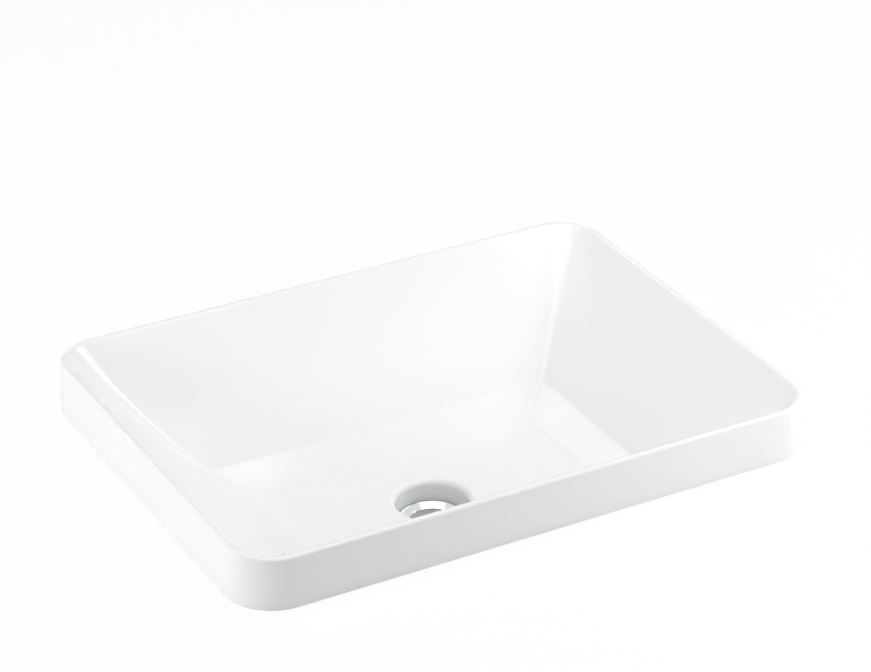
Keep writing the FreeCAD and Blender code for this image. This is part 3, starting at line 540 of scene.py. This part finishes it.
arm_turn = cross_turns()
full = cross_outline(arm_turn, 0)
slim = cross_outline(arm_turn, ARM_EDGE)
arm_low = HUB_TOP - ARM_HEIGHT
hub_low = HUB_TOP - HUB_HEIGHT
cross_rows = [
    (HUB_BORE, HUB_TOP - ARM_EDGE), (HUB_BORE + ARM_EDGE, HUB_TOP),
    (slim, HUB_TOP), (full, HUB_TOP - ARM_EDGE),
    (full, arm_low + ARM_EDGE), (slim, arm_low),
    (HUB_RADIUS, arm_low), (HUB_RADIUS, hub_low + ARM_EDGE),
    (HUB_RADIUS - ARM_EDGE, hub_low), (HUB_BORE + ARM_EDGE, hub_low),
    (HUB_BORE, hub_low + ARM_EDGE),
]
cross_grid = np.stack([about_drain(reach, level, arm_turn) for reach, level in cross_rows])
waste_cross = surface("waste_cross", cross_grid)

# Chromium plate on polished brass: a bright, slightly blue mirror. Handling and water leave faint dull
# clouds in it.
CHROME_BRIGHT = linear("#E3E5E7")
CHROME_DULL = linear("#CDD0D3")
CLOUD_WIDTH = 14*MM
chrome, tree, shader = material("chromium_plate_on_brass")
place = node(tree, "ShaderNodeTexCoord").outputs["Object"]
clouds = node(tree, "ShaderNodeTexNoise", {"Scale": 1/CLOUD_WIDTH, "Detail": 4}, {"Vector": place})
tint = node(tree, "ShaderNodeMix", {"data_type": "RGBA", 6: CHROME_BRIGHT, 7: CHROME_DULL},
            {0: clouds.outputs[0]})
gloss = node(tree, "ShaderNodeMapRange",
             {"From Min": 0.35, "From Max": 0.75, "To Min": 0.04, "To Max": 0.13},
             {"Value": clouds.outputs[0]})
shader.inputs["Metallic"].default_value = 1
tree.links.new(tint.outputs[2], shader.inputs["Base Color"])
tree.links.new(gloss.outputs[0], shader.inputs["Roughness"])
fit(waste_tube, chrome, "chrome", "basin_and_waste", "waste_body")
fit(waste_cross, chrome, "chrome", "basin_and_waste", "waste_body")

# Underside seal
# A thick washer of the same rubber, pressed against the outlet from below. Its nose reaches up into the
# hole and centres the tube there.

under_low, under_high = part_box("underside_seal")
PLAY = 0.05*MM
TUBE_HOLE = TAIL_RADIUS + PLAY
UNDER_BEVEL = 2*MM
BEVEL_ROUND = 0.8*MM
SHOULDER_ROUND = 0.5*MM
NOSE_GAP = 0.3*MM
NOSE_ROUND = 0.4*MM
NOSE_TIP = 0.1*MM
nose_radius = OUTLET_RADIUS - NOSE_GAP
under_seal_line = rounded([
    (TUBE_HOLE, under_low.z, NOSE_ROUND),
    (under_high.x - UNDER_BEVEL, under_low.z, BEVEL_ROUND),
    (under_high.x, under_low.z + UNDER_BEVEL, BEVEL_ROUND),
    (under_high.x, OUTLET, SHOULDER_ROUND),
    (nose_radius, OUTLET, NOSE_ROUND),
    (nose_radius, (OUTLET + under_high.z)/2, NOSE_ROUND),
    (TUBE_HOLE, under_high.z, NOSE_TIP),
], steps=4, closed=True)
underside_seal = surface("underside_seal_washer", turned(under_seal_line))
fit(underside_seal, rubber, "black_rubber", "basin_and_waste", "underside_seal")

# Slip washer
# A thin moulded ring of white plastic between the seal and the nut. It is slippery, so that the turning nut
# doesn't drag the rubber round.

slip_low, slip_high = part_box("slip_washer")
SLIP_EDGE = 0.4*MM
slip_corners = [
    (TUBE_HOLE, slip_low.z), (slip_high.x, slip_low.z),
    (slip_high.x, slip_high.z), (TUBE_HOLE, slip_high.z),
]
slip_line = rounded([(*corner, SLIP_EDGE) for corner in slip_corners], steps=4, closed=True)
slip_washer = surface("slip_washer_ring", turned(slip_line))

# Polyethylene, moulded: milky and waxy, with soft flow marks that show as a slight change of gloss
MILKY = linear("#E8E7E1")
MILKY_SHADE = linear("#DEDDD5")
MILKY_FLOW = 6*MM
polyethylene, tree, shader = material("moulded_polyethylene")
place = node(tree, "ShaderNodeTexCoord").outputs["Object"]
flow = node(tree, "ShaderNodeTexNoise", {"Scale": 1/MILKY_FLOW, "Detail": 3}, {"Vector": place})
tint = node(tree, "ShaderNodeMix", {"data_type": "RGBA", 6: MILKY, 7: MILKY_SHADE}, {0: flow.outputs[0]})
wax = node(tree, "ShaderNodeMapRange", {"To Min": 0.35, "To Max": 0.5}, {"Value": flow.outputs[0]})
shader.inputs["IOR"].default_value = 1.51
tree.links.new(tint.outputs[2], shader.inputs["Base Color"])
tree.links.new(wax.outputs[0], shader.inputs["Roughness"])
fit(slip_washer, polyethylene, "white_plastic", "basin_and_waste", "slip_washer")

# Backnut
# A flat hexagon nut of turned brass, which is screwed up the tail and clamps the waste to the ceramic. Its
# corners are turned off at both ends, and its hole is countersunk.

BACKNUT_COUNTERSINK = 1*MM
FLAT_TURN = math.pi/3


def hexagon_nut(node_name, bore, countersink):
    """A nut in the box of a CAD node: a hexagon cut at both ends by a cone that touches its flats.

    A flat lies at half the width over the cosine of the turn from its middle, and the cone rises 1 for
    every 2 that it goes out, so at each turn the bevel is half as high as the hexagon stands out past a flat.
    """
    low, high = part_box(node_name)
    flat = high.x
    reach = flat/np.cos(np.remainder(EVEN_TURN + FLAT_TURN/2, FLAT_TURN) - FLAT_TURN/2)
    bevel = (reach - flat)/2
    rows = [
        (bore, low.z + countersink), (bore + countersink, low.z),
        (flat, low.z), (reach, low.z + bevel),
        (reach, high.z - bevel), (flat, high.z),
        (bore + countersink, high.z), (bore, high.z - countersink),
    ]
    grid = np.stack([about_drain(radius, level, EVEN_TURN) for radius, level in rows])
    return surface(f"{node_name}_hexagon", grid, sharp=20)


backnut = hexagon_nut("backnut", TUBE_HOLE, BACKNUT_COUNTERSINK)

# Brass, turned on a lathe: warm yellow metal with fine rings from the tool, which stretch each reflection,
# and a little brown tarnish. The real rings are 0.1 mm apart and are drawn at 0.4 mm, so that they show.
BRASS_BRIGHT = linear("#D9B76B")
BRASS_TARNISH = linear("#A98546")
TARNISH_WIDTH = 7*MM
TOOL_RING = 0.4*MM
RING_STRETCH = (0.02, 0.02, 1)
brass, tree, shader = material("turned_brass")
place = node(tree, "ShaderNodeTexCoord").outputs["Object"]
tarnish = node(tree, "ShaderNodeTexNoise", {"Scale": 1/TARNISH_WIDTH, "Detail": 4}, {"Vector": place})
flattened = node(tree, "ShaderNodeVectorMath", {"operation": "MULTIPLY", 1: RING_STRETCH}, {0: place})
rings = node(tree, "ShaderNodeTexNoise", {"Scale": 1/TOOL_RING, "Detail": 2},
             {"Vector": flattened.outputs[0]})
tint = node(tree, "ShaderNodeMix", {"data_type": "RGBA", 6: BRASS_BRIGHT, 7: BRASS_TARNISH},
            {0: tarnish.outputs[0]})
gloss = node(tree, "ShaderNodeMapRange", {"To Min": 0.18, "To Max": 0.42}, {"Value": tarnish.outputs[0]})
skin = node(tree, "ShaderNodeBump", {"Strength": 0.35, "Distance": 0.03*MM}, {"Height": rings.outputs[0]})
shader.inputs["Metallic"].default_value = 1
tree.links.new(tint.outputs[2], shader.inputs["Base Color"])
tree.links.new(gloss.outputs[0], shader.inputs["Roughness"])
tree.links.new(skin.outputs[0], shader.inputs["Normal"])
fit(backnut, brass, "brass", "basin_and_waste", "backnut")

# Click cartridge
# A brass tube with a collar, screwed into the hub on a rubber gasket and closed below by a brass cap. Four
# cam ribs hang inside it, and a plastic bush guides the plunger at its top.


def finish_cad(finish, *nodes):
    """Give CAD nodes, whose shapes are right, the finish of the real pieces."""
    for name in nodes:
        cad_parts[name].material_slots[0].material = finish


finish_cad(brass, "cartridge_housing", "cartridge_end_cap")
finish_cad(rubber, "cartridge_gasket")
finish_cad(polyethylene, "guide_bush")

# Click spring and thrust washer
# A spring of hard drawn stainless wire stands on the cap and lifts the plug. A pressed washer carries its
# push to the rotor.

# Stainless steel, drawn through a die: clean grey metal, between satin and bright, with fine lines
STEEL_LIGHT = linear("#C6C7C9")
STEEL_DARK = linear("#A4A5A8")
DRAWN_LINE = 0.6*MM
steel, tree, shader = material("drawn_stainless_steel")
place = node(tree, "ShaderNodeTexCoord").outputs["Object"]
lines = node(tree, "ShaderNodeTexNoise", {"Scale": 1/DRAWN_LINE, "Detail": 3}, {"Vector": place})
tint = node(tree, "ShaderNodeMix", {"data_type": "RGBA", 6: STEEL_LIGHT, 7: STEEL_DARK},
            {0: lines.outputs[0]})
gloss = node(tree, "ShaderNodeMapRange", {"To Min": 0.2, "To Max": 0.4}, {"Value": lines.outputs[0]})
shader.inputs["Metallic"].default_value = 1
tree.links.new(tint.outputs[2], shader.inputs["Base Color"])
tree.links.new(gloss.outputs[0], shader.inputs["Roughness"])
finish_cad(steel, "click_spring", "thrust_washer")

# Latch rotor and plunger
# Two mouldings of grey acetal, a slippery plastic. The rotor turns under the cam ribs at each click, and
# the plunger slides between them and carries the plug's stem.

# Acetal, moulded: a smooth grey plastic with a soft waxy shine, which varies a little with its flow
ACETAL = linear("#8F9296")
ACETAL_SHADE = linear("#84878B")
ACETAL_FLOW = 3*MM
acetal, tree, shader = material("moulded_grey_acetal")
place = node(tree, "ShaderNodeTexCoord").outputs["Object"]
flow = node(tree, "ShaderNodeTexNoise", {"Scale": 1/ACETAL_FLOW, "Detail": 3}, {"Vector": place})
tint = node(tree, "ShaderNodeMix", {"data_type": "RGBA", 6: ACETAL, 7: ACETAL_SHADE}, {0: flow.outputs[0]})
wax = node(tree, "ShaderNodeMapRange", {"To Min": 0.28, "To Max": 0.4}, {"Value": flow.outputs[0]})
shader.inputs["IOR"].default_value = 1.48
tree.links.new(tint.outputs[2], shader.inputs["Base Color"])
tree.links.new(wax.outputs[0], shader.inputs["Roughness"])
finish_cad(acetal, "latch_rotor", "plunger")

# Plug stem and lock nut
# A brass rod with an M6 thread, screwed into the plunger and into the plug's boss. A small hexagon nut
# under the boss locks the height that was set.

stem_low, stem_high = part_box("plug_stem")
STEM_PITCH = 1.0*MM
STEM_DEPTH = 0.61*MM
STEM_TURN = EVEN_TURN[::3]
LOCK_NUT_COUNTERSINK = 0.4*MM
stem_hole = stem_high.x + PLAY
stem_axis = np.zeros((1, 1))
stem = surface("plug_stem_rod", np.concatenate([
    about_drain(stem_axis, stem_high.z, STEM_TURN),
    thread(stem_high.x, STEM_PITCH, STEM_DEPTH, stem_high.z, stem_low.z, STEM_TURN),
    about_drain(stem_axis, stem_low.z, STEM_TURN),
]), closed=False)
lock_nut = hexagon_nut("stem_lock_nut", stem_hole, LOCK_NUT_COUNTERSINK)
fit(stem, brass, "brass", "plug", "plug_stem")
fit(lock_nut, brass, "brass", "plug", "stem_lock_nut")

# Plug
# A domed brass cap, turned and chromed. Its underside is hollow, with a threaded boss in the middle and a
# groove near the edge that holds a rubber ring seal.

cap_low, cap_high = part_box("plug_cap")
ring_low, ring_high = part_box("plug_seal")
CAP_RADIUS = cap_high.x
CAP_DOME = 3*MM
CAP_EDGE = 1.6*MM
CAP_ROUND = 0.7*MM
CAP_HOLLOW = 1.4*MM
HOLLOW_ROUND = 0.8*MM
CAP_SHELF = 2.7*MM
CAP_BOSS = 6*MM
BOSS_ROUND = 0.6*MM
BOSS_EDGE = 0.5*MM
FINE_EDGE = 0.2*MM
GROOVE_EDGE = 0.1*MM
STEM_GAP = 0.3*MM
RING_WIRE = (ring_high.z - ring_low.z)/2
RING_RADIUS = ring_high.x - RING_WIRE
RING_LEVEL = (ring_low.z + ring_high.z)/2
RING_STEPS = 24

# The dome is part of a sphere through the cap's top and its edge, and stops short of the edge's round
DOME_STOP = 1.2*MM
DOME_ROWS = 24
dome_radius = (CAP_RADIUS**2 + CAP_DOME**2)/(2*CAP_DOME)
dome_reach = np.linspace(0, CAP_RADIUS - DOME_STOP, DOME_ROWS)
dome_level = cap_high.z - dome_radius + np.sqrt(dome_radius**2 - dome_reach**2)
edge_top = cap_high.z - CAP_DOME
edge_low = edge_top - CAP_EDGE
groove_out = RING_RADIUS + RING_WIRE + PLAY
groove_in = RING_RADIUS - RING_WIRE - PLAY
groove_top = RING_LEVEL + RING_WIRE + PLAY
shelf = RING_RADIUS - CAP_SHELF
hollow_top = RING_LEVEL + CAP_HOLLOW
stem_top = stem_high.z + STEM_GAP
cap_line = np.concatenate([np.stack([dome_reach, dome_level], 1)[:-1], rounded([
    (dome_reach[-1], dome_level[-1], 0),
    (CAP_RADIUS, edge_top, CAP_ROUND),
    (CAP_RADIUS, edge_low, CRISP_EDGE),
    (groove_out + RING_WIRE/2, RING_LEVEL, FINE_EDGE),
    (groove_out, RING_LEVEL, GROOVE_EDGE),
    (groove_out, groove_top, GROOVE_EDGE),
    (groove_in, groove_top, GROOVE_EDGE),
    (groove_in, RING_LEVEL, GROOVE_EDGE),
    (shelf, RING_LEVEL, CRISP_EDGE),
    (shelf, hollow_top, HOLLOW_ROUND),
    (CAP_BOSS, hollow_top, BOSS_ROUND),
    (CAP_BOSS, cap_low.z, BOSS_EDGE),
    (stem_hole, cap_low.z, CRISP_EDGE),
    (stem_hole, stem_top, FINE_EDGE),
    (0, stem_top, 0),
])])
plug_dome = surface("plug_dome", turned(cap_line), closed=False)
fit(plug_dome, chrome, "chrome", "plug", "plug_cap")

ring_turn = np.linspace(0, 2*math.pi, RING_STEPS, endpoint=False)
ring_reach = RING_RADIUS + RING_WIRE*np.cos(ring_turn)
ring_height = RING_LEVEL + RING_WIRE*np.sin(ring_turn)
plug_ring = surface("plug_ring_seal", turned(np.stack([ring_reach, ring_height], 1)))
fit(plug_ring, rubber, "black_rubber", "plug", "plug_seal")

# Counter
# A plain white worktop with a cut-out, which the bowl hangs through and the skirt stands on. It is the pale
# floor of the picture and no part of the object.

COUNTER_REACH = 4.0
COUNTER_GAP = 0.2*MM
COUNTER_THICKNESS = 30*MM

# The cut-out's side, front and back, and its corner's radius
CUT_OUT = np.array([250*MM, 180*MM, 180*MM, 30*MM])
counter_sizes = np.array([CUT_OUT, CUT_OUT, CUT_OUT + COUNTER_REACH])
counter_levels = [-COUNTER_THICKNESS, -COUNTER_GAP, -COUNTER_GAP]
counter = surface("counter", rounded_rectangles(counter_sizes, counter_levels), closed=False)


def seen_ray(tree):
    """One for a ray that sees the background, in a reflection or through glass too, and nought for light."""
    ray = node(tree, "ShaderNodeLightPath").outputs
    seen = node(tree, "ShaderNodeMath", {"operation": "MAXIMUM"},
                {0: ray["Is Camera Ray"], 1: ray["Is Glossy Ray"]})
    seen = node(tree, "ShaderNodeMath", {"operation": "MAXIMUM"},
                {0: seen.outputs[0], 1: ray["Is Transmission Ray"]})
    return seen.outputs[0]


# White laminate, matt: it shows nearly plain white, with enough of its own tone to take a faint shadow
WHITE = linear("#FFFFFF")
LAMINATE_WHITE = linear("#F0F0F0")
PLAIN_WHITE_SHARE = 0.94
laminate, tree, shader = material("white_laminate")
shader.inputs["Base Color"].default_value = LAMINATE_WHITE
shader.inputs["Roughness"].default_value = 0.6
share = node(tree, "ShaderNodeMath", {"operation": "MULTIPLY", 1: PLAIN_WHITE_SHARE}, {0: seen_ray(tree)})
white = node(tree, "ShaderNodeEmission", {"Color": WHITE, "Strength": 1.0})
mixed = node(tree, "ShaderNodeMixShader",
             links={0: share.outputs[0], 1: shader.outputs[0], 2: white.outputs[0]})
tree.links.new(mixed.outputs[0], tree.nodes["Material Output"].inputs["Surface"])
counter.data.materials.append(laminate)

# Studio
# A white room, soft light from broad lamps, and the camera where the photograph was taken from. The room is
# white wherever it is seen, in reflections too, and gives no light itself: that comes from the lamps alone.

scene = bpy.context.scene
scene.view_settings.view_transform = "Standard"
room = bpy.data.worlds.new("white_room")
scene.world = room
room.use_nodes = True
tree = room.node_tree
unlit = node(tree, "ShaderNodeBackground", {"Color": WHITE, "Strength": 0.0})
white = node(tree, "ShaderNodeBackground", {"Color": WHITE, "Strength": 1.0})
mixed = node(tree, "ShaderNodeMixShader",
             links={0: seen_ray(tree), 1: unlit.outputs[0], 2: white.outputs[0]})
tree.links.new(mixed.outputs[0], tree.nodes["World Output"].inputs["Surface"])


def softbox(name, place, width, height, power, seen=False):
    """A flat lamp of a width and height that faces the middle of the basin.

    It stands behind the white room's cloth, so it gives light but isn't seen. Where seen is true it shines
    through, and reflections show it a little brighter than the cloth.
    """
    lamp = bpy.data.lights.new(name, "AREA")
    lamp.shape = "RECTANGLE"
    lamp.size = width
    lamp.size_y = height
    lamp.energy = power
    made = bpy.data.objects.new(name, lamp)
    made.location = place
    made.rotation_euler = (-Vector(place)).to_track_quat("-Z", "Y").to_euler()
    made.visible_camera = False
    made.visible_glossy = seen
    scene.collection.objects.link(made)


softbox("top_light", (0.0, 0.0, 2.0), width=1.5, height=1.5, power=9.6)
softbox("overhead_light", (0.0, 0.0, 2.4), width=1.8, height=1.8, power=16.3, seen=True)
softbox("right_light", (1.4, 0.0, 1.4), width=1.0, height=1.0, power=7.6)
softbox("right_window_light", (1.4, -0.24, 1.4), width=0.8, height=0.8, power=6.2, seen=True)
softbox("left_light", (-1.4, 0.0, 1.4), width=1.0, height=1.0, power=4.8)
softbox("low_left_light", (-1.96, 0.0, 0.42), width=1.0, height=0.7, power=17.6)
softbox("right_front_light", (0.65, -0.87, 0.38), width=0.5, height=0.4, power=4.45)
softbox("back_light", (-0.24, 1.955, 1.539), width=1.3, height=0.6, power=2.9, seen=True)

CAMERA_PLACE = (-1.1447, -2.0831, 1.3966)
CAMERA_PITCH = 28.875
CAMERA_YAW = -28.937
SENSOR_WIDTH = 36
FOCAL_LENGTH = 130.36
camera_data = bpy.data.cameras.new("camera")
camera_data.sensor_width = SENSOR_WIDTH
camera_data.lens = FOCAL_LENGTH
camera = bpy.data.objects.new("camera", camera_data)
camera.location = CAMERA_PLACE
camera.rotation_euler = (math.radians(90 - CAMERA_PITCH), 0, math.radians(CAMERA_YAW))
scene.collection.objects.link(camera)
scene.camera = camera
